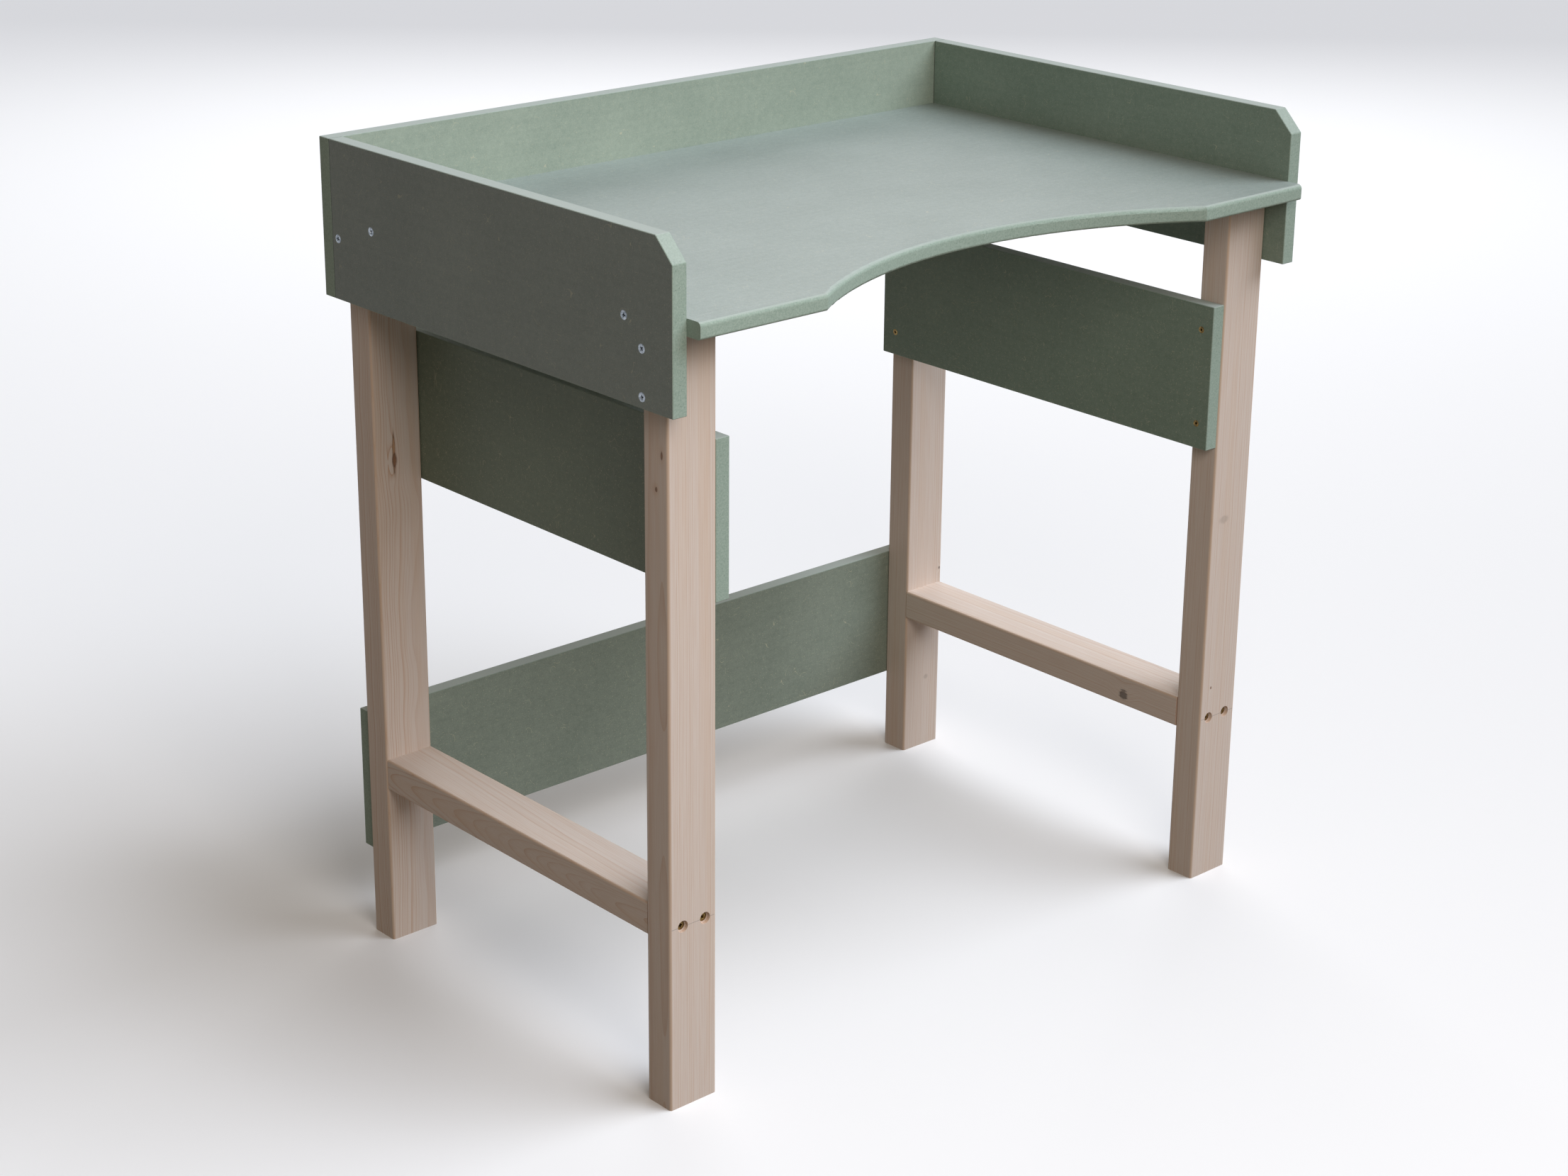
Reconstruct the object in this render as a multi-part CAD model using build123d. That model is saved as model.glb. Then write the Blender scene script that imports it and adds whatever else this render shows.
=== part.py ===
from build123d import *
import os

# A free-standing potting bench: four timber legs, two timber stretchers, and boards of
# moisture-resistant MDF. Millimetres, +Z up, +Y to the rear, +X to the right.
# The origin is on the floor, at the middle of the bench's footprint.

# Stock
BOARD = 18.0              # thickness of every MDF board
TIMBER_WIDE = 63.0        # planed timber, wide face
TIMBER_NARROW = 38.0      # planed timber, narrow face
TIMBER_ROUND = 3.0        # rounding along the timber's four long edges
BOARD_EASE = 0.6          # the broken arris on a sawn board

# Driving dimensions
TOP_WIDTH = 900.0
TOP_DEPTH = 600.0
LEG_HEIGHT = 860.0
TOP_OVERHANG = 50.0       # tabletop in front of the legs
SIDE_SETBACK = 20.0       # front end of a side board behind the tabletop's front edge
UPSTAND = 80.0            # side and back boards above the tabletop, and as far below it
SIDE_CORNER_CUT = 25.0    # 45 degree cut on a side board's top front corner
CUTOUT_WIDTH = 570.0      # chord of the curved cut-out in the tabletop's front edge
CUTOUT_DEPTH = 85.0
TOP_ROUND = 5.0           # rounding of the tabletop's upper front edge
UNDER_ROUND = 3.0         # rounding of its lower front edge
LOW_BOARD_HEIGHT = 174.0  # inner boards and lower back board
INNER_BOARD_Z = 562.0     # underside of the inner boards
LOWER_BACK_Z = 105.0      # underside of the lower back board
STRETCHER_Z = 194.0       # underside of the stretchers
INSET = 1.0               # stretchers and inner boards behind the faces of the legs
LOWER_BACK_INSET = 3.0    # each end of the lower back board

# Worked-out places
FRONT_Y = -(TOP_DEPTH + BOARD) / 2
TOP_REAR_Y = FRONT_Y + TOP_DEPTH
REAR_Y = TOP_REAR_Y + BOARD
LEG_FRONT_Y = FRONT_Y + TOP_OVERHANG
LEG_REAR_Y = TOP_REAR_Y
SIDE_X = TOP_WIDTH / 2
OUTER_X = SIDE_X + BOARD
LEG_INNER_X = SIDE_X - TIMBER_WIDE
TOP_UNDER_Z = LEG_HEIGHT
TOP_FACE_Z = LEG_HEIGHT + BOARD
TOP_MIDDLE_Z = LEG_HEIGHT + BOARD / 2
RIM_LOW_Z = TOP_UNDER_Z - UPSTAND
RIM_HIGH_Z = TOP_FACE_Z + UPSTAND
LEG_MIDDLE_X = SIDE_X - TIMBER_WIDE / 2
STRETCHER_MIDDLE_X = LEG_MIDDLE_X - INSET
STRETCHER_MIDDLE_Z = STRETCHER_Z + TIMBER_NARROW / 2

# Countersunk screws: (head diameter, body diameter, length)
BOARD_SCREW = (10.0, 5.0, 50.0)
INNER_SCREW = (8.0, 4.0, 40.0)
FRAME_SCREW = (10.0, 5.0, 80.0)
HEAD_RIM = 0.6            # straight rim of a head above its cone
TIP = 5.0                 # pointed end of a screw
RECESS_SPAN = 0.54        # cross recess across the head, as a share of its diameter
RECESS_SLOT = 0.13        # width of the cross's slots, as a share of the head
RECESS_DEPTH = 0.24       # depth of the recess, as a share of the head
SINK_DIAMETER = 13.5      # counterbore over the screws in the legs
SINK_DEPTH = 4.0

# Screw places. On the side boards: (distance behind the legs' front faces, height)
SIDE_SCREWS = (
    (44.0, TOP_MIDDLE_Z),
    (475.0, TOP_MIDDLE_Z),
    (17.0, 841.0),
    (17.0, 792.0),
    (539.0, 849.0),
)
INNER_SCREW_EDGE = 30.0   # from the inner board's upper and lower edges
INNER_SCREW_FRONT = 18.0  # behind the legs' front faces
INNER_SCREW_REAR = 527.0
FRAME_SCREW_STEP = 30.0   # between the two screws in each end of a stretcher
BACK_TOP_SCREWS_X = (-225.0, 0.0, 225.0)
BACK_LEG_SCREW_X = 410.0
BACK_LEG_SCREWS_Z = (797.0, 829.0)
LOWER_BACK_SCREWS_Z = (138.0, 246.0)

SIDES = {"left": -1, "right": 1}


def block(x_low, x_high, y_low, y_high, z_low, z_high):
    """A square-edged block between two corners."""
    size = (x_high - x_low, y_high - y_low, z_high - z_low)
    corner = (Align.MIN, Align.MIN, Align.MIN)
    return Pos(x_low, y_low, z_low) * Box(*size, align=corner)


def board(*limits):
    """An MDF board with all its edges slightly eased."""
    plain = block(*limits)
    return chamfer(plain.edges(), BOARD_EASE)


def timber(axis, *limits):
    """A planed timber along an axis, with its four long edges rounded."""
    plain = block(*limits)
    return fillet(plain.edges().filter_by(axis), TIMBER_ROUND)


def screw_body(kind):
    """The outside of a countersunk screw, its head's face at the origin, pointing down."""
    head, body, length = kind
    head_radius = head / 2
    radius = body / 2
    cone_end = HEAD_RIM + head_radius - radius
    side = Polyline(
        (0, 0),
        (head_radius, 0),
        (head_radius, -HEAD_RIM),
        (radius, -cone_end),
        (radius, -length + TIP),
        (0, -length),
        (0, 0),
    )
    profile = Plane.XZ * make_face(side)
    return revolve(profile, Axis.Z)


def screw(kind):
    """A countersunk screw with a cross recess in its head."""
    head = kind[0]
    span = head * RECESS_SPAN
    slot = head * RECESS_SLOT
    depth = head * RECESS_DEPTH
    top = (Align.CENTER, Align.CENTER, Align.MAX)
    recess = Box(span, slot, depth, align=top) + Box(slot, span, depth, align=top)
    recess += Cone(slot / 2, span / 3, depth, align=top)
    return screw_body(kind) - recess


def place(shape, point, outward):
    """Set a screw or its hole with its head's face at a point, facing outward."""
    return Plane(origin=point, z_dir=outward).location * shape


def drive(shape, spots):
    """Copies of a screw or its hole at each (point, outward direction)."""
    return [place(shape, point, outward) for point, outward in spots]


def side_spots(side):
    """Five screws through a side board, into the tabletop's end and the legs."""
    outward = (side, 0, 0)
    return [((side * OUTER_X, LEG_FRONT_Y + y, z), outward) for y, z in SIDE_SCREWS]


def inner_spots(side):
    """Four screws through an inner board, into the legs."""
    face_x = side * (LEG_INNER_X - BOARD)
    outward = (-side, 0, 0)
    heights = (INNER_BOARD_Z + INNER_SCREW_EDGE, INNER_BOARD_Z + LOW_BOARD_HEIGHT - INNER_SCREW_EDGE)
    depths = (LEG_FRONT_Y + INNER_SCREW_FRONT, LEG_FRONT_Y + INNER_SCREW_REAR)
    return [((face_x, y, z), outward) for y in depths for z in heights]


def frame_spots(side, end):
    """Two sunk screws through a leg, into the end of a stretcher."""
    face_y = LEG_FRONT_Y if end < 0 else LEG_REAR_Y
    head_y = face_y - end * SINK_DEPTH
    outward = (0, end, 0)
    steps = (-FRAME_SCREW_STEP / 2, FRAME_SCREW_STEP / 2)
    middle = side * STRETCHER_MIDDLE_X
    return [((middle + step, head_y, STRETCHER_MIDDLE_Z), outward) for step in steps]


def back_spots():
    """Screws through the back board, into the tabletop's rear edge and the rear legs."""
    outward = (0, 1, 0)
    spots = [((x, REAR_Y, TOP_MIDDLE_Z), outward) for x in BACK_TOP_SCREWS_X]
    for side in SIDES.values():
        for z in BACK_LEG_SCREWS_Z:
            spots.append(((side * BACK_LEG_SCREW_X, REAR_Y, z), outward))
    return spots


def lower_back_spots():
    """Screws through the lower back board, into the rear legs."""
    outward = (0, 1, 0)
    sides = SIDES.values()
    return [((side * LEG_MIDDLE_X, REAR_Y, z), outward) for side in sides for z in LOWER_BACK_SCREWS_Z]


def tabletop():
    """The worktop, with a shallow curved cut-out and rounded edges all along its front."""
    reach = CUTOUT_WIDTH / 2
    straight = Polyline(
        (-reach, FRONT_Y),
        (-SIDE_X, FRONT_Y),
        (-SIDE_X, TOP_REAR_Y),
        (SIDE_X, TOP_REAR_Y),
        (SIDE_X, FRONT_Y),
        (reach, FRONT_Y),
    )
    curve = ThreePointArc((reach, FRONT_Y), (0, FRONT_Y + CUTOUT_DEPTH), (-reach, FRONT_Y))
    outline = make_face(straight.edges() + curve.edges())
    top = Pos(0, 0, TOP_UNDER_Z) * extrude(outline, BOARD)
    for level, radius in ((-1, TOP_ROUND), (0, UNDER_ROUND)):
        edges = top.edges().group_by(Axis.Z)[level]
        front = [edge for edge in edges if edge.center().Y < FRONT_Y + CUTOUT_DEPTH + BOARD]
        top = fillet(front, radius)
    return top


def side_board(side):
    """A side board with its top front corner cut off at 45 degrees."""
    inner, outer = sorted((side * SIDE_X, side * OUTER_X))
    plain = block(inner, outer, FRONT_Y + SIDE_SETBACK, TOP_REAR_Y, RIM_LOW_Z, RIM_HIGH_Z)
    across = plain.edges().filter_by(Axis.X)
    corner = across.group_by(Axis.Z)[-1].sort_by(Axis.Y)[0]
    cut = chamfer(corner, SIDE_CORNER_CUT)
    return chamfer(cut.edges(), BOARD_EASE)


def leg(side, end):
    """An upright leg, its wide face to the front."""
    inner, outer = sorted((side * LEG_INNER_X, side * SIDE_X))
    face = LEG_FRONT_Y if end < 0 else LEG_REAR_Y
    front, rear = sorted((face, face - end * TIMBER_NARROW))
    return timber(Axis.Z, inner, outer, front, rear, 0, LEG_HEIGHT)


def stretcher(side):
    """A timber laid flat between the front and rear legs."""
    middle = side * STRETCHER_MIDDLE_X
    half = TIMBER_WIDE / 2
    front = LEG_FRONT_Y + TIMBER_NARROW
    rear = LEG_REAR_Y - TIMBER_NARROW
    top = STRETCHER_Z + TIMBER_NARROW
    return timber(Axis.Y, middle - half, middle + half, front, rear, STRETCHER_Z, top)


def inner_board(side):
    """A board across the inner faces of one side's two legs."""
    inner, outer = sorted((side * (LEG_INNER_X - BOARD), side * LEG_INNER_X))
    front = LEG_FRONT_Y + INSET
    rear = LEG_REAR_Y - INSET
    return board(inner, outer, front, rear, INNER_BOARD_Z, INNER_BOARD_Z + LOW_BOARD_HEIGHT)


def back_board():
    """The upper back board, across the tabletop, the side boards and the rear legs."""
    return board(-OUTER_X, OUTER_X, TOP_REAR_Y, REAR_Y, RIM_LOW_Z, RIM_HIGH_Z)


def lower_back_board():
    """The board low across the rear legs, which stops the bench racking."""
    reach = SIDE_X - LOWER_BACK_INSET
    return board(-reach, reach, LEG_REAR_Y, REAR_Y, LOWER_BACK_Z, LOWER_BACK_Z + LOW_BOARD_HEIGHT)


def sinks(spots):
    """The counterbores over sunk screws."""
    hole = Cylinder(SINK_DIAMETER / 2, SINK_DEPTH, align=(Align.CENTER, Align.CENTER, Align.MIN))
    return drive(hole, spots)


def bench():
    """Every piece of the bench, by name."""
    board_hole = screw_body(BOARD_SCREW)
    inner_hole = screw_body(INNER_SCREW)
    frame_hole = screw_body(FRAME_SCREW)
    back_holes = drive(board_hole, back_spots())
    lower_holes = drive(board_hole, lower_back_spots())

    pieces = {
        "back_board": back_board() - back_holes,
        "lower_back_board": lower_back_board() - lower_holes,
        "back_board_screws": drive(screw(BOARD_SCREW), back_spots()),
        "lower_back_board_screws": drive(screw(BOARD_SCREW), lower_back_spots()),
    }
    top = tabletop() - back_holes
    for name, side in SIDES.items():
        side_holes = drive(board_hole, side_spots(side))
        inner_holes = drive(inner_hole, inner_spots(side))
        top -= side_holes
        rail = stretcher(side)
        for end_name, end in (("front", -1), ("rear", 1)):
            spots = frame_spots(side, end)
            frame_holes = drive(frame_hole, spots)
            rail -= frame_holes
            post = leg(side, end) - side_holes - inner_holes - frame_holes - sinks(spots)
            if end > 0:
                post = post - back_holes - lower_holes
            pieces[f"{end_name}_{name}_leg"] = post
            pieces[f"{end_name}_{name}_stretcher_screws"] = drive(screw(FRAME_SCREW), spots)
        pieces[f"{name}_stretcher"] = rail
        pieces[f"{name}_side_board"] = side_board(side) - side_holes
        pieces[f"{name}_inner_board"] = inner_board(side) - inner_holes
        pieces[f"{name}_side_board_screws"] = drive(screw(BOARD_SCREW), side_spots(side))
        pieces[f"{name}_inner_board_screws"] = drive(screw(INNER_SCREW), inner_spots(side))
    pieces["tabletop"] = top
    return pieces


os.makedirs("parts", exist_ok=True)
for node, shape in bench().items():
    solids = shape if isinstance(shape, list) else [shape]
    export_step(Compound(children=solids), f"parts/{node}.step")
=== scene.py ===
from math import radians

import bpy
from mathutils import Matrix, Vector


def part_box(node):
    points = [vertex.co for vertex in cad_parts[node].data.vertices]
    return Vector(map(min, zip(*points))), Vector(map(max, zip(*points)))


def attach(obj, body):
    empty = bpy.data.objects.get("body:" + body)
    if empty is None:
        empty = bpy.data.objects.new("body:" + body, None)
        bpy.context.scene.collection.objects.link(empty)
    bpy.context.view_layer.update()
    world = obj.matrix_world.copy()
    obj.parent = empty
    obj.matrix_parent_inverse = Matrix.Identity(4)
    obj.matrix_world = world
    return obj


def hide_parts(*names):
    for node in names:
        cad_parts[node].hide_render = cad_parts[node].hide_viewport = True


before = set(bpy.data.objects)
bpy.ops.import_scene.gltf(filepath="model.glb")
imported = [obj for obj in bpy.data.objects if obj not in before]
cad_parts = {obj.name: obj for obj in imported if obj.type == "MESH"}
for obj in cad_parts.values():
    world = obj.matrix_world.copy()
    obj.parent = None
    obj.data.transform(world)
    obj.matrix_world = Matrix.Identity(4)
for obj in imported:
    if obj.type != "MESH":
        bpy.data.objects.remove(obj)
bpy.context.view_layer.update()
scene = bpy.context.scene

# The bench stands with its front towards -Y. Lengths are in metres.
MM = 0.001

# The ways that a board's thickness and length, or a timber's grain, can run
X_AXIS = (1, 0, 0)
Y_AXIS = (0, 1, 0)
Z_AXIS = (0, 0, 1)


# ---------------------------------------------------------------- node helpers

def linear(code):
    """An sRGB hex colour as linear RGBA."""
    shares = [int(code[i:i + 2], 16) / 255 for i in (0, 2, 4)]
    return [s / 12.92 if s <= 0.04045 else ((s + 0.055) / 1.055) ** 2.4 for s in shares] + [1.0]


def add(tree, kind, inputs=None, **settings):
    """Add a shader node, set its properties, and fill or link its inputs.

    A MapRange takes its value at 0, the range that this comes from at 1 and 2, and the range
    that it goes to at 3 and 4, which is 0 to 1 unless set.
    """
    node = tree.nodes.new("ShaderNode" + kind)
    for name, value in settings.items():
        setattr(node, name, value)
    for key, value in (inputs or {}).items():
        if isinstance(value, bpy.types.Node):
            value = value.outputs[0]
        if isinstance(value, bpy.types.NodeSocket):
            tree.links.new(value, node.inputs[key])
        else:
            node.inputs[key].default_value = value
    return node


def start_material(name):
    """A new material: its node tree and its Principled shader."""
    material = bpy.data.materials.new(name)
    material.use_nodes = True
    tree = material.node_tree
    return material, tree, tree.nodes["Principled BSDF"]


# ------------------------------------------------------------------- materials

MDF_FLECK = linear("CFCBB0")     # a stray wood fibre in the face
MDF_EDGE_DARK = linear("8A9D90")
MDF_EDGE_LIGHT = linear("A3B4A8")
MDF_EDGE_PAINTED_SHEEN = linear("B2BBB6")  # painted sheen on the upward edges: paler, for the bright backdrop's reflection
MDF_PIT = linear("5A695E")       # small open pits in a sawn edge
MDF_PAINTED_JOINT_SHADOW = linear("2E332E")     # painted shadow in the joint between two boards


def mdf(name, thickness, length, dark, light, flecks, seam=None):
    """Moisture-resistant MDF, dyed green by the maker: pressed, sanded faces and paler sawn edges.

    dark and light are the deepest and the palest tone of this board's faces, and flecks how
    much its stray fibres show. seam is how far back a side board ends against the back board.
    The eye sees a dense fine speckle, pale dots, a few curved fibres, faint sanding marks along
    the board, and a mint edge that is rougher and shows small open pits.
    """
    material, tree, shader = start_material(name)
    place = add(tree, "TexCoord")
    here = place.outputs["Object"]

    # 1 on the pressed faces, 0 on whatever is sawn or routed
    normal = place.outputs["Normal"]
    squareness = add(tree, "VectorMath", {0: normal, 1: thickness}, operation="DOT_PRODUCT")
    squareness = add(tree, "Math", {0: squareness.outputs["Value"]}, operation="ABSOLUTE")
    face = add(tree, "MapRange", {0: squareness, 1: 0.90, 2: 0.985})

    # Speckle of about 1 mm, mottling of about 6 mm, and clouds of about 12 cm
    speckle = add(tree, "TexNoise", {"Vector": here, "Scale": 850.0, "Detail": 4.0, "Roughness": 0.7})
    mottle = add(tree, "TexNoise", {"Vector": here, "Scale": 170.0, "Detail": 2.0})
    cloud = add(tree, "TexNoise", {"Vector": here, "Scale": 8.0, "Detail": 2.0})
    # Sanding marks: long along the board, under 4 mm across
    stretch = [6.0 if part else 260.0 for part in length]
    sanded = add(tree, "Mapping", {"Vector": here, "Scale": stretch})
    sanded = add(tree, "TexNoise", {"Vector": sanded, "Scale": 1.0, "Detail": 2.0})
    tone = add(tree, "Math", {0: speckle, 1: 1.1, 2: -0.55}, operation="MULTIPLY_ADD")
    tone = add(tree, "Math", {0: mottle, 1: 0.45, 2: tone}, operation="MULTIPLY_ADD")
    tone = add(tree, "Math", {0: cloud, 1: 0.50, 2: tone}, operation="MULTIPLY_ADD")
    tone = add(tree, "Math", {0: sanded, 1: 0.22, 2: tone}, operation="MULTIPLY_ADD")
    tone = add(tree, "MapRange", {0: tone, 1: 0.26, 2: 0.91})
    pressed = add(tree, "MixRGB", {"Fac": tone, "Color1": linear(dark), "Color2": linear(light)})

    # Pale dots, about 1 mm across, where a tuft of fibres was cut through
    dot = add(tree, "TexNoise", {"Vector": here, "Scale": 560.0, "Detail": 0.0})
    dot = add(tree, "MapRange", {0: dot, 1: 0.70, 2: 0.78, 4: 0.65 * flecks})
    pressed = add(tree, "MixRGB", {"Fac": dot, "Color1": pressed, "Color2": MDF_FLECK})

    # Stray fibres: short pieces of a noise's level line, 4 to 12 mm long and 0.4 mm wide
    wander = add(tree, "TexNoise", {"Vector": here, "Scale": 85.0, "Detail": 0.0})
    wander = add(tree, "Math", {0: wander, 1: 0.5}, operation="SUBTRACT")
    wander = add(tree, "Math", {0: wander}, operation="ABSOLUTE")
    line = add(tree, "MapRange", {0: wander, 1: 0.012, 2: 0.004})
    chosen = add(tree, "TexNoise", {"Vector": here, "Scale": 58.0, "Detail": 1.0, "Distortion": 0.4})
    chosen = add(tree, "MapRange", {0: chosen, 1: 0.62, 2: 0.66, 4: flecks})
    fleck = add(tree, "Math", {0: line, 1: chosen}, operation="MULTIPLY")
    pressed = add(tree, "MixRGB", {"Fac": fleck, "Color1": pressed, "Color2": MDF_FLECK})

    # Sawn edges: coarser fibres, with dark pits under 1 mm and pale tufts
    grit = add(tree, "TexNoise", {"Vector": here, "Scale": 520.0, "Detail": 2.0, "Roughness": 0.7})
    grit_tone = add(tree, "MapRange", {0: grit, 1: 0.28, 2: 0.72})
    sawn = add(tree, "MixRGB", {"Fac": grit_tone, "Color1": MDF_EDGE_DARK, "Color2": MDF_EDGE_LIGHT})
    pit = add(tree, "TexNoise", {"Vector": here, "Scale": 430.0, "Detail": 0.0})
    pit = add(tree, "MapRange", {0: pit, 1: 0.74, 2: 0.82, 4: 0.4})
    sawn = add(tree, "MixRGB", {"Fac": pit, "Color1": sawn, "Color2": MDF_PIT})
    # Painted sheen: sawn edges that face up are mixed towards a paler colour, for the reflection of the
    # bright backdrop that they catch
    upward_sheen = add(tree, "VectorMath", {0: normal, 1: Z_AXIS}, operation="DOT_PRODUCT")
    upward_sheen = add(tree, "MapRange", {0: upward_sheen.outputs["Value"], 1: 0.55, 2: 0.95, 4: 0.85})
    sawn = add(tree, "MixRGB", {"Fac": upward_sheen, "Color1": sawn, "Color2": MDF_EDGE_PAINTED_SHEEN})

    colour = add(tree, "MixRGB", {"Fac": face, "Color1": sawn, "Color2": pressed})

    # Painted shadow: a dark line, about 1 mm wide, where the side board meets the end of the back board
    if seam is not None:
        back = add(tree, "VectorMath", {0: here, 1: Y_AXIS}, operation="DOT_PRODUCT").outputs["Value"]
        near = add(tree, "MapRange", {0: back, 1: seam - 1.6 * MM, 2: seam - 1.0 * MM, 4: 0.8})
        colour = add(tree, "MixRGB", {"Fac": near, "Color1": colour, "Color2": MDF_PAINTED_JOINT_SHADOW})
    tree.links.new(colour.outputs[0], shader.inputs["Base Color"])

    # Pressed faces are sanded smooth, edges are fuzzy
    rough = add(tree, "MapRange", {0: face, 3: 0.80, 4: 0.50})
    tree.links.new(rough.outputs[0], shader.inputs["Roughness"])
    shader.inputs["Specular IOR Level"].default_value = 0.3
    relief = add(tree, "MixRGB", {"Fac": face, "Color1": grit, "Color2": speckle})
    bump = add(tree, "Bump", {"Height": relief, "Strength": 0.35, "Distance": 0.15 * MM})
    tree.links.new(bump.outputs[0], shader.inputs["Normal"])
    return material


SPRUCE_EARLY = linear("D8CABF")  # pale wood laid down in spring
SPRUCE_LATE = linear("BC9270")   # the thin dense line that ends each year's ring
SPRUCE_RESIN_AND_ARRIS_SHADE = linear("D2B498")   # resin-yellow tint along some rings, and the painted shade along the rounded arrises
KNOT_WOOD = linear("80583C")
KNOT_PALE = linear("A8998D")     # a knot cut so near its end that the wood closes over it
KNOT_GREY = linear("6E645E")
KNOT_STREAK = linear("AD835F")   # the resin-brown streaks over and under a knot
KNOT_RIM = linear("4A3424")
PENCIL = linear("8A827C")


def spruce(name, grain, pith, ring, sway, strength=0.6, lean=0.0, bends=3.2, knots=(), pencil=None):
    """Planed spruce, unfinished: pale pinkish wood cut from growth rings round a pith.

    grain is the axis that the piece runs along. pith is where the tree's centre lies in the
    piece's section, ring the spacing of the rings, and sway how far they wander, with so many
    bends in a metre. lean is the angle in degrees between the tree and the piece. A knot is
    (centre, (size along X, Y, Z), colour), where a size of 0 lets it run through that way. The eye
    sees fine lines on quarter-cut faces, nested tongues on flat-cut ones, and darker ends.
    """
    material, tree, shader = start_material(name)
    place = add(tree, "TexCoord")
    here = place.outputs["Object"]
    normal = place.outputs["Normal"]

    # The tree's own space: its pith runs up the middle
    turn = (radians(90) if grain == Y_AXIS else 0.0, radians(lean), 0.0)
    shift = (-pith[0], pith[1] if grain == Y_AXIS else -pith[1], 0.0)
    along = add(tree, "Mapping", {"Vector": here, "Rotation": turn, "Location": shift})

    # The rings wander slowly along the grain
    slow = add(tree, "Mapping", {"Vector": along, "Scale": (9.0, 9.0, bends)})
    slow = add(tree, "TexNoise", {"Vector": slow, "Scale": 1.0, "Detail": 1.5})
    slow = add(tree, "VectorMath", {0: slow.outputs["Color"], 1: (0.5, 0.5, 0.5)}, operation="SUBTRACT")
    slow = add(tree, "VectorMath", {0: slow, 1: (sway, sway, 0.0)}, operation="MULTIPLY")
    bent = add(tree, "VectorMath", {0: along, 1: slow}, operation="ADD")
    bent = add(tree, "VectorMath", {0: bent, 1: (1.0, 1.0, 0.0)}, operation="MULTIPLY")
    radius = add(tree, "VectorMath", {0: bent}, operation="LENGTH").outputs["Value"]

    # Rings bulge round each knot, and hardly at all round one that has closed over
    cores = []
    for centre, size, wood in knots:
        squeeze = [1 / s if s else 0.0 for s in size]
        away = add(tree, "VectorMath", {0: here, 1: centre}, operation="SUBTRACT")
        away = add(tree, "VectorMath", {0: away, 1: squeeze}, operation="MULTIPLY")
        reach = add(tree, "VectorMath", {0: away}, operation="LENGTH").outputs["Value"]
        closed = wood == KNOT_PALE
        swell = 0.6 * MM if closed else max(min(s for s in size if s) * 1.2, 2 * MM)
        push = add(tree, "MapRange", {0: reach, 1: 5.0, 2: 0.3, 4: swell}, interpolation_type="SMOOTHSTEP")
        radius = add(tree, "Math", {0: radius, 1: push}, operation="ADD")
        cores.append((reach, wood, closed))

    # Each ring darkens slowly and ends at once, and some bands of rings are stronger than others
    count = add(tree, "Math", {0: radius, 1: ring}, operation="DIVIDE")
    uneven = add(tree, "TexNoise", {"W": count, "Scale": 0.45, "Detail": 0.0}, noise_dimensions="1D")
    count = add(tree, "Math", {0: uneven, 1: 1.3, 2: count}, operation="MULTIPLY_ADD")
    phase = add(tree, "Math", {0: count}, operation="FRACT")
    late = add(tree, "Math", {0: phase, 1: 5.0}, operation="POWER")
    band = add(tree, "TexNoise", {"W": count, "Scale": 0.17, "Detail": 1.0}, noise_dimensions="1D")
    band = add(tree, "MapRange", {0: band, 1: 0.35, 2: 0.65, 3: 0.25 * strength, 4: strength})
    late = add(tree, "Math", {0: late, 1: band}, operation="MULTIPLY")

    # Fibres: streaks about 1 mm across and 5 cm long
    streak = add(tree, "Mapping", {"Vector": along, "Scale": (700.0, 700.0, 18.0)})
    streak = add(tree, "TexNoise", {"Vector": streak, "Scale": 1.0, "Detail": 2.0})
    fibre = add(tree, "MapRange", {0: streak, 1: 0.3, 2: 0.7, 3: -0.06, 4: 0.14})
    amount = add(tree, "Math", {0: late, 1: fibre}, operation="ADD", use_clamp=True)
    colour = add(tree, "MixRGB", {"Fac": amount, "Color1": SPRUCE_EARLY, "Color2": SPRUCE_LATE})

    # Warm resin bands, and painted shade along the rounded arrises: a warm, darker tone on the rounding
    tint = add(tree, "Mapping", {"Vector": along, "Scale": (60.0, 60.0, 1.5)})
    tint = add(tree, "TexNoise", {"Vector": tint, "Scale": 1.0, "Detail": 1.0})
    tint = add(tree, "MapRange", {0: tint, 1: 0.50, 2: 0.75, 4: 0.30})
    colour = add(tree, "MixRGB", {"Fac": tint, "Color1": colour, "Color2": SPRUCE_RESIN_AND_ARRIS_SHADE})
    facing = add(tree, "VectorMath", {0: normal}, operation="ABSOLUTE")
    total = add(tree, "VectorMath", {0: facing, 1: (1.0, 1.0, 1.0)}, operation="DOT_PRODUCT")
    arris_shade = add(tree, "MapRange", {0: total.outputs["Value"], 1: 1.10, 2: 1.38, 4: 0.60})
    colour = add(tree, "MixRGB", {"Fac": arris_shade, "Color1": colour, "Color2": SPRUCE_RESIN_AND_ARRIS_SHADE})

    # Knots: brown wood, frayed along the grain, with a darker broken rim
    for reach, wood, closed in cores:
        frayed = add(tree, "Math", {0: streak, 1: 1.2, 2: reach}, operation="MULTIPLY_ADD")
        knot = add(tree, "MapRange", {0: frayed, 1: 2.0, 2: 1.2, 4: 0.45 if closed else 0.9})
        colour = add(tree, "MixRGB", {"Fac": knot, "Color1": colour, "Color2": wood})
        rim = add(tree, "Math", {0: frayed, 1: 1.45}, operation="SUBTRACT")
        rim = add(tree, "Math", {0: rim}, operation="ABSOLUTE")
        rim = add(tree, "MapRange", {0: rim, 1: 0.30, 2: 0.05, 4: 0.1 if closed else 1.0})
        gaps = add(tree, "TexNoise", {"Vector": here, "Scale": 300.0})
        rim = add(tree, "Math", {0: rim, 1: gaps}, operation="MULTIPLY")
        colour = add(tree, "MixRGB", {"Fac": rim, "Color1": colour, "Color2": KNOT_RIM})

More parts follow.
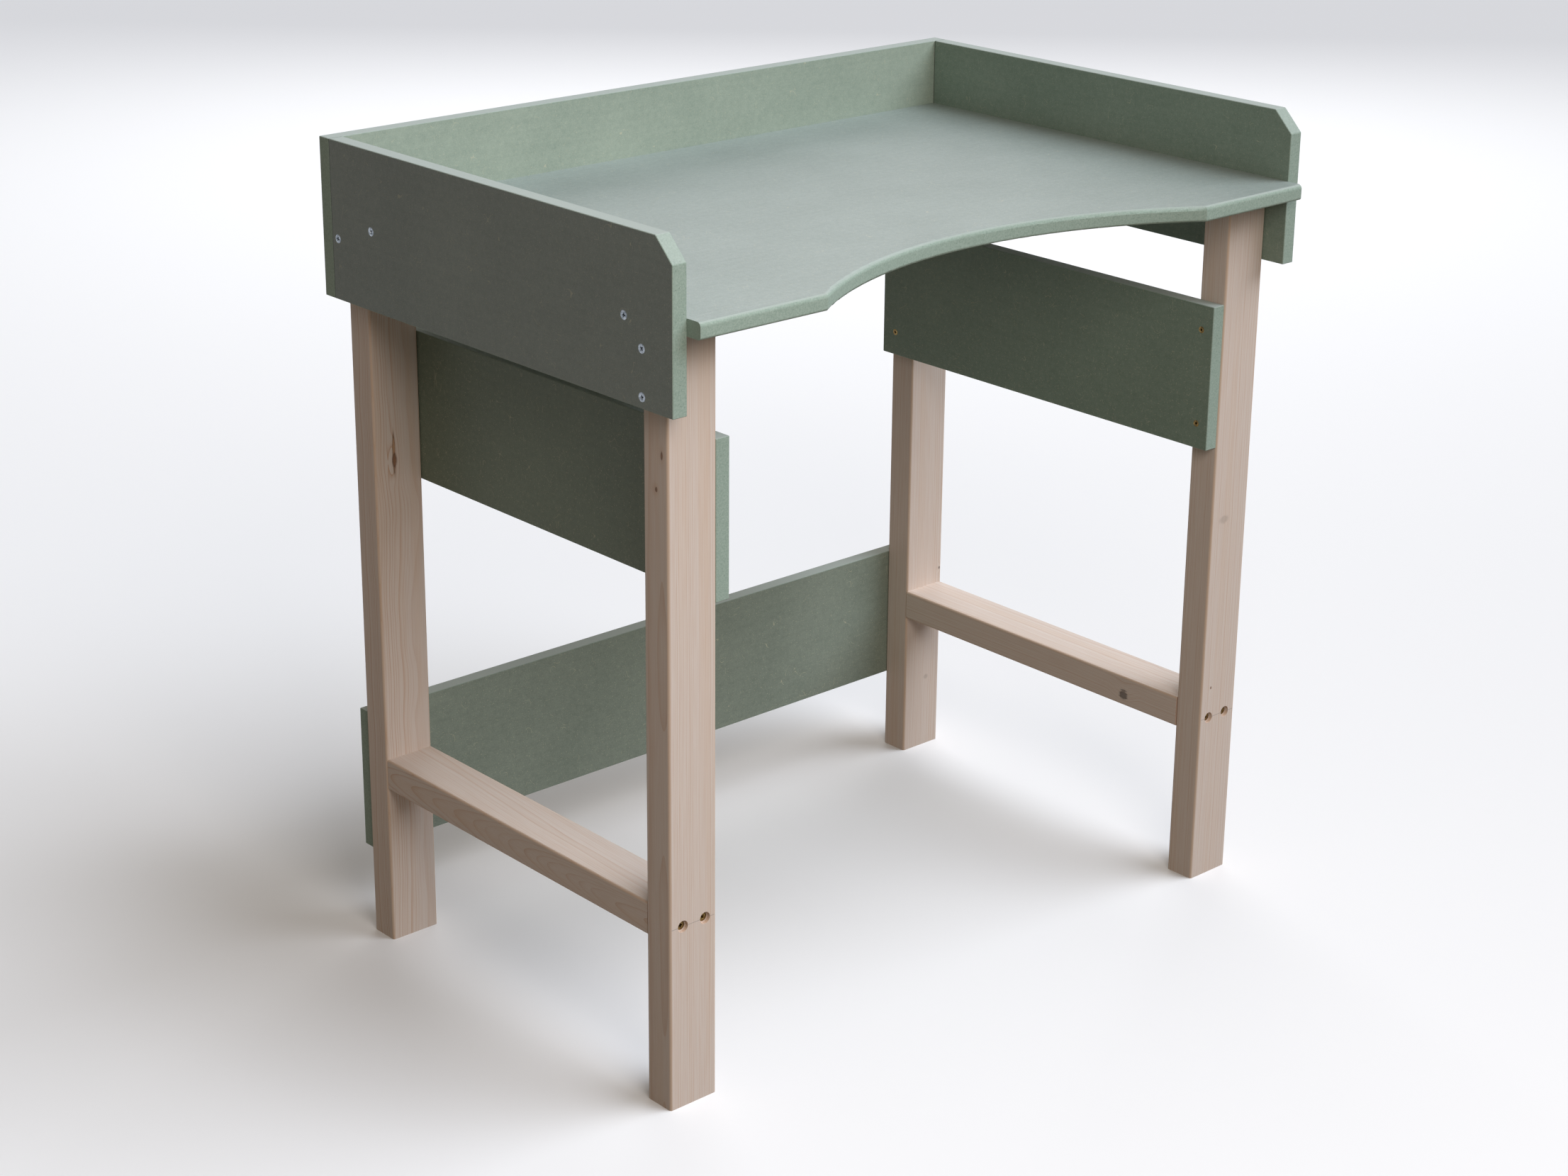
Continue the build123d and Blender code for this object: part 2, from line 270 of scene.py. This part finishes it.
    # End grain soaks up light
    end = add(tree, "VectorMath", {0: facing, 1: grain}, operation="DOT_PRODUCT")
    end = add(tree, "MapRange", {0: end.outputs["Value"], 1: 0.8, 2: 0.95, 4: 0.35})
    colour = add(tree, "MixRGB", {"Fac": end, "Color1": colour, "Color2": SPRUCE_LATE})

    # The faint pencil line, 0.8 mm wide, that marks the screws' height on the leg's face
    if pencil is not None:
        height, outward = pencil
        level = add(tree, "VectorMath", {0: here, 1: Z_AXIS}, operation="DOT_PRODUCT")
        level = add(tree, "Math", {0: level.outputs["Value"], 1: height}, operation="SUBTRACT")
        level = add(tree, "Math", {0: level}, operation="ABSOLUTE")
        drawn = add(tree, "MapRange", {0: level, 1: 0.6 * MM, 2: 0.2 * MM, 4: 0.5})
        front = add(tree, "VectorMath", {0: normal, 1: outward}, operation="DOT_PRODUCT")
        front = add(tree, "MapRange", {0: front.outputs["Value"], 1: 0.95, 2: 0.99})
        drawn = add(tree, "Math", {0: drawn, 1: front}, operation="MULTIPLY")
        colour = add(tree, "MixRGB", {"Fac": drawn, "Color1": colour, "Color2": PENCIL})

    tree.links.new(colour.outputs[0], shader.inputs["Base Color"])
    shader.inputs["Roughness"].default_value = 0.62
    relief = add(tree, "Math", {0: late, 1: 0.6, 2: streak}, operation="MULTIPLY_ADD")
    bump = add(tree, "Bump", {"Height": relief, "Strength": 0.3, "Distance": 0.2 * MM})
    tree.links.new(bump.outputs[0], shader.inputs["Normal"])
    return material


def zinc(name, plated, stained):
    """Zinc-plated steel, as barrelled screws have it: a soft metallic shine with dull blotches."""
    material, tree, shader = start_material(name)
    place = add(tree, "TexCoord")
    blotch = add(tree, "TexNoise", {"Vector": place.outputs["Object"], "Scale": 420.0, "Detail": 3.0})
    dull = add(tree, "MapRange", {0: blotch, 1: 0.35, 2: 0.7})
    colour = add(tree, "MixRGB", {"Fac": dull, "Color1": linear(plated), "Color2": linear(stained)})
    tree.links.new(colour.outputs[0], shader.inputs["Base Color"])
    rough = add(tree, "MapRange", {0: dull, 3: 0.24, 4: 0.42})
    tree.links.new(rough.outputs[0], shader.inputs["Roughness"])
    shader.inputs["Metallic"].default_value = 1.0
    return material


def studio_white():
    """The matt painted floor of the studio."""
    material, tree, shader = start_material("studio_floor_paint")
    shader.inputs["Base Color"].default_value = linear("F2F2F2")
    shader.inputs["Roughness"].default_value = 0.9
    return material


# --------------------------------------------------- finishes on the CAD pieces

def finish_node(node, material):
    """Put one material on every slot of a CAD node."""
    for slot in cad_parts[node].material_slots:
        slot.material = material


# Each board: the axes that its thickness and its length run along, the deepest and palest tone of its
# faces, and how much its fibres show.
# The tones are partly each sheet's own colour and partly painted light: the side and inner boards are
# painted darker for the shade on them, the lower back board darker for the shadow over part of it, and the
# tabletop paler for the sheen on it.
MDF_PIECES = {
    "tabletop": (Z_AXIS, X_AXIS, "8A9691", "A2AEA9", 0.40),
    "back_board": (Y_AXIS, X_AXIS, "909F92", "ABB8A9", 0.55),
    "lower_back_board": (Y_AXIS, X_AXIS, "7B887C", "97A295", 0.60),
    "left_side_board": (X_AXIS, Y_AXIS, "707974", "87908A", 0.32),
    "right_side_board": (X_AXIS, Y_AXIS, "708275", "8B9A8D", 0.35),
    "left_inner_board": (X_AXIS, Y_AXIS, "667264", "7F8B7A", 0.42),
    "right_inner_board": (X_AXIS, Y_AXIS, "6C7E6F", "869687", 0.40),
}
SIDE_BOARD_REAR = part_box("left_side_board")[1].y
for node, (thickness, length, dark, light, flecks) in MDF_PIECES.items():
    seam = SIDE_BOARD_REAR if "side_board" in node else None
    name = "moisture_resistant_mdf_" + node
    finish_node(node, mdf(name, thickness, length, dark, light, flecks, seam))


PENCIL_HEIGHT = sum(corner.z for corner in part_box("left_stretcher")) / 2
FRONT_PENCIL = (PENCIL_HEIGHT, (0, -1, 0))


def section_point(node, x_share, other_share):
    """A point in a timber's section: shares of its width, and of its depth or height."""
    low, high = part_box(node)
    other = 2 if "stretcher" in node else 1
    x = low.x + (high.x - low.x) * x_share
    return (x, low[other] + (high[other] - low[other]) * other_share)


def front_knot(across, height, width, tall, wood):
    """A knot on a front face: a share across it, its height, its half sizes in mm, its colour."""
    return "front", across, height, width * MM, tall * MM, wood


def left_knot(along, height, width, tall, wood):
    """A knot on a left face: a share along it in Y, its height, its half sizes in mm, its colour."""
    return "left", along, height, width * MM, tall * MM, wood


def place_knot(node, side, share, height, width, tall, wood):
    """A knot's centre, size and colour, on one face of a timber."""
    low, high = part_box(node)
    if side == "front":
        return (low.x + (high.x - low.x) * share, low.y, height), (width, 0.0, tall), wood
    return (low.x, low.y + (high.y - low.y) * share, height), (0.0, width, tall), wood


def cut_timber(node, pith_shares, ring, sway, knots=(), **look):
    """Finish a timber in spruce. The pith is a share of its section, ring and sway are in mm."""
    grain = Y_AXIS if "stretcher" in node else Z_AXIS
    pith = section_point(node, *pith_shares)
    placed = [place_knot(node, *knot) for knot in knots]
    finish_node(node, spruce("spruce_" + node, grain, pith, ring * MM, sway * MM, knots=placed, **look))


cut_timber("front_left_leg", (-1.4, 0.2), 2.6, 6, pencil=FRONT_PENCIL, knots=(
    left_knot(0.24, 0.730, 1.6, 4.5, KNOT_WOOD),
    left_knot(0.48, 0.693, 1.8, 2.4, KNOT_WOOD),
))
cut_timber("front_right_leg", (1.3, 2.3), 1.8, 6, pencil=FRONT_PENCIL, knots=(
    front_knot(0.35, 0.468, 7.0, 4.5, KNOT_PALE),
    front_knot(0.27, 0.252, 1.0, 1.6, KNOT_WOOD),
))
cut_timber("rear_left_leg", (1.0, 1.8), 2.2, 9, strength=1.0, bends=8.0, knots=(
    front_knot(0.41, 0.600, 1.9, 24, KNOT_STREAK),
    front_knot(0.42, 0.592, 3.0, 7.5, KNOT_WOOD),
))
cut_timber("rear_right_leg", (1.4, 2.0), 1.9, 8, strength=0.5, knots=(
    front_knot(0.62, 0.099, 3.4, 3.0, KNOT_PALE),
    front_knot(0.94, 0.252, 1.3, 2.0, KNOT_GREY),
))
cut_timber("left_stretcher", (0.55, 0.45), 1.9, 12, strength=0.75, lean=-3.4)
cut_timber("right_stretcher", (1.2, -1.7), 2.0, 8, knots=(left_knot(0.18, 0.208, 6.0, 5.5, KNOT_GREY),))


# ----------------------------------------------------------------------- screws

def deselect_all():
    """Leave edit mode and select nothing."""
    if bpy.context.object and bpy.context.object.mode != "OBJECT":
        bpy.ops.object.mode_set(mode="OBJECT")
    bpy.ops.object.select_all(action="DESELECT")


def select_only(obj):
    """Select one object and make it the active one."""
    deselect_all()
    obj.select_set(True)
    bpy.context.view_layer.objects.active = obj


def apply_modifiers(obj):
    """Apply all of an object's modifiers, and leave it selected."""
    select_only(obj)
    for modifier in list(obj.modifiers):
        bpy.ops.object.modifier_apply(modifier=modifier.name)


def extrude_end(drop, share):
    """In edit mode: extrude the selected end face downwards by drop and scale it by share."""
    bpy.ops.mesh.extrude_region_move(TRANSFORM_OT_translate={"value": (0, 0, -drop)})
    bpy.ops.transform.resize(value=(share, share, 1))


def recess_cutters(span, slot, depth):
    """The arms of a tapered cross, with a small star between them, to sink in a screw's head."""
    cross = (span, slot)
    star = (span * 0.55, slot * 0.6)
    taper = 0.55
    arms = []
    for angle, (length, width) in ((0, cross), (90, cross), (45, star), (135, star)):
        deselect_all()
        bpy.ops.mesh.primitive_cube_add(size=1)
        arm = bpy.context.object
        arm.scale = (length, width, depth * 2)
        arm.rotation_euler.z = radians(angle)
        bpy.ops.object.transform_apply(location=True, rotation=True, scale=True)
        for vertex in arm.data.vertices:
            if vertex.co.z < 0:
                vertex.co.x *= taper
                vertex.co.y *= taper
        arms.append(arm)
    return arms


def model_screw(name, head, body, length):
    """A countersunk screw with a cross recess, its head's face at the origin, pointing down."""
    rim = 0.6 * MM
    head_radius = head / 2
    radius = body / 2
    cone = head_radius - radius
    tip = 5 * MM
    tip_share = 0.06
    deselect_all()
    bpy.ops.mesh.primitive_cylinder_add(
        vertices=40, radius=head_radius, depth=rim, end_fill_type="NGON", location=(0, 0, -rim / 2))
    blank = bpy.context.object
    blank.name = name
    bpy.ops.object.transform_apply(location=True, rotation=True, scale=True)
    bpy.ops.object.mode_set(mode="EDIT")
    bpy.ops.mesh.select_mode(type="FACE")
    bpy.ops.mesh.select_all(action="DESELECT")
    bpy.ops.object.mode_set(mode="OBJECT")
    for face in blank.data.polygons:
        face.select = face.normal.z < -0.9
    bpy.ops.object.mode_set(mode="EDIT")
    extrude_end(cone, radius / head_radius)
    extrude_end(length - tip - rim - cone, 1.0)
    extrude_end(tip, tip_share)
    bpy.ops.object.mode_set(mode="OBJECT")

    for cutter in recess_cutters(span=head * 0.62, slot=head * 0.20, depth=head * 0.40):
        sink = blank.modifiers.new("recess", "BOOLEAN")
        sink.operation = "DIFFERENCE"
        sink.object = cutter
        sink.solver = "EXACT"
        apply_modifiers(blank)
        bpy.data.objects.remove(cutter)
    soften = blank.modifiers.new("soften", "BEVEL")
    soften.width = 0.16 * MM
    soften.segments = 2
    soften.limit_method = "ANGLE"
    soften.angle_limit = radians(40)
    apply_modifiers(blank)
    bpy.ops.object.shade_smooth_by_angle(angle=radians(35))
    return blank


def loose_boxes(node):
    """The box of each separate screw in a CAD node."""
    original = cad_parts[node]
    copy = original.copy()
    copy.data = original.data.copy()
    scene.collection.objects.link(copy)
    select_only(copy)
    bpy.ops.object.mode_set(mode="EDIT")
    bpy.ops.mesh.select_all(action="SELECT")
    bpy.ops.mesh.remove_doubles(threshold=0.01 * MM)
    bpy.ops.mesh.separate(type="LOOSE")
    bpy.ops.object.mode_set(mode="OBJECT")
    boxes = []
    for part in list(bpy.context.selected_objects):
        corners = [vertex.co for vertex in part.data.vertices]
        low = Vector([min(c[i] for c in corners) for i in range(3)])
        high = Vector([max(c[i] for c in corners) for i in range(3)])
        boxes.append((low, high))
        bpy.data.objects.remove(part)
    return sorted(boxes, key=lambda box: tuple(round(v, 4) for v in box[0]))


def fit_screws(node, pattern, outward, material):
    """Put a copy of a modelled screw wherever a CAD node has one, joined as one piece.

    outward is the way that the screws' heads face.
    """
    outward = Vector(outward)
    turn = outward.to_track_quat("Z", "Y").to_matrix().to_4x4()
    made = []
    for index, (low, high) in enumerate(loose_boxes(node)):
        head = (low + high) / 2
        for axis in range(3):
            if abs(outward[axis]) > 0.5:
                head[axis] = high[axis] if outward[axis] > 0 else low[axis]
        spin = Matrix.Rotation(radians(FIRST_SPIN + SPIN_STEP * index), 4, "Z")
        screw = pattern.copy()
        screw.data = pattern.data.copy()
        screw.data.transform(Matrix.Translation(head) @ turn @ spin)
        scene.collection.objects.link(screw)
        made.append(screw)
    deselect_all()
    for screw in made:
        screw.select_set(True)
    bpy.context.view_layer.objects.active = made[0]
    bpy.ops.object.join()
    group = bpy.context.object
    group.name = node + "_modelled"
    group.data.materials.clear()
    group.data.materials.append(material)
    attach(group, "root")
    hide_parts(node)


# Every screw was driven to its own turn, in degrees
FIRST_SPIN = 11
SPIN_STEP = 37

bright = zinc("bright_zinc_plating", "AEB5BC", "757F88")
yellow = zinc("yellow_zinc_plating", "97804F", "644F33")
board_screw = model_screw("board_screw", 10 * MM, 5 * MM, 50 * MM)
inner_screw = model_screw("inner_screw", 8 * MM, 4 * MM, 40 * MM)
frame_screw = model_screw("frame_screw", 10 * MM, 5 * MM, 80 * MM)

fit_screws("left_side_board_screws", board_screw, (-1, 0, 0), bright)
fit_screws("right_side_board_screws", board_screw, (1, 0, 0), bright)
fit_screws("back_board_screws", board_screw, (0, 1, 0), bright)
fit_screws("lower_back_board_screws", board_screw, (0, 1, 0), bright)
fit_screws("left_inner_board_screws", inner_screw, (1, 0, 0), yellow)
fit_screws("right_inner_board_screws", inner_screw, (-1, 0, 0), yellow)
for side in ("left", "right"):
    fit_screws(f"front_{side}_stretcher_screws", frame_screw, (0, -1, 0), yellow)
    fit_screws(f"rear_{side}_stretcher_screws", frame_screw, (0, 1, 0), yellow)
for pattern in (board_screw, inner_screw, frame_screw):
    bpy.data.objects.remove(pattern)


# ------------------------------------------------------- floor, light and camera

deselect_all()
bpy.ops.mesh.primitive_plane_add(size=60, location=(0, 0, 0))
floor = bpy.context.object
floor.name = "studio_floor"
floor.data.materials.append(studio_white())

# The floor shows and is mirrored, but throws no light back up: the bench's undersides and its
# left-hand faces stay as deep as a dark studio leaves them.
floor.visible_diffuse = False

world = bpy.data.worlds.new("studio")
world.use_nodes = True
ambient = world.node_tree.nodes["Background"]
ambient.inputs["Color"].default_value = linear("FFEEDC")
ambient.inputs["Strength"].default_value = 0.17
scene.world = world

BENCH_MIDDLE = Vector((0.0, 0.0, 0.5))


def aim(holder, place):
    """Stand a lamp at a place and turn it to the middle of the bench."""
    holder.location = place
    holder.rotation_euler = (Vector(place) - BENCH_MIDDLE).to_track_quat("Z", "Y").to_euler()
    scene.collection.objects.link(holder)


def distant_light(name, place, strength, spread, colour):
    """A broad far-off light, which falls evenly on the bench and the floor."""
    lamp = bpy.data.lights.new(name, "SUN")
    lamp.energy = strength
    lamp.angle = radians(spread)
    lamp.color = linear(colour)[:3]
    aim(bpy.data.objects.new(name, lamp), place)


def softbox(name, place, power, width, height, colour):
    """A rectangular softbox that faces the bench."""
    lamp = bpy.data.lights.new(name, "AREA")
    lamp.shape = "RECTANGLE"
    lamp.size = width
    lamp.size_y = height
    lamp.energy = power
    lamp.color = linear(colour)[:3]
    aim(bpy.data.objects.new(name, lamp), place)


distant_light("cool_key_right", (2.5, -2.5, 4.6), 2.9, 50, "EFF5FF")
softbox("warm_fill_front", (-1.0, -2.1, 2.1), 26, 1.2, 1.2, "FFF7F0")
softbox("white_backdrop_glow", (3.2, 3.4, 2.7), 70, 4.0, 3.0, "FFFFFF")

# A long lens off the bench's front left corner, looking down on it. Angles are in degrees.
CAMERA_PLACE = (-2.1848, -2.3579, 1.6363)
CAMERA_HEADING = -41.979
CAMERA_DIP = 19.422
CAMERA_ROLL = 0.515

camera_data = bpy.data.cameras.new("camera")
camera_data.sensor_width = 36.0
camera_data.lens = 67.350
camera_data.shift_y = -0.0495
camera_data.clip_end = 100.0
camera = bpy.data.objects.new("camera", camera_data)
heading = Matrix.Rotation(radians(CAMERA_HEADING), 4, "Z")
tilt = Matrix.Rotation(radians(90 - CAMERA_DIP), 4, "X")
roll = Matrix.Rotation(radians(CAMERA_ROLL), 4, "Z")
camera.matrix_world = Matrix.Translation(CAMERA_PLACE) @ heading @ tilt @ roll
scene.collection.objects.link(camera)
scene.camera = camera

scene.view_settings.view_transform = "Standard"
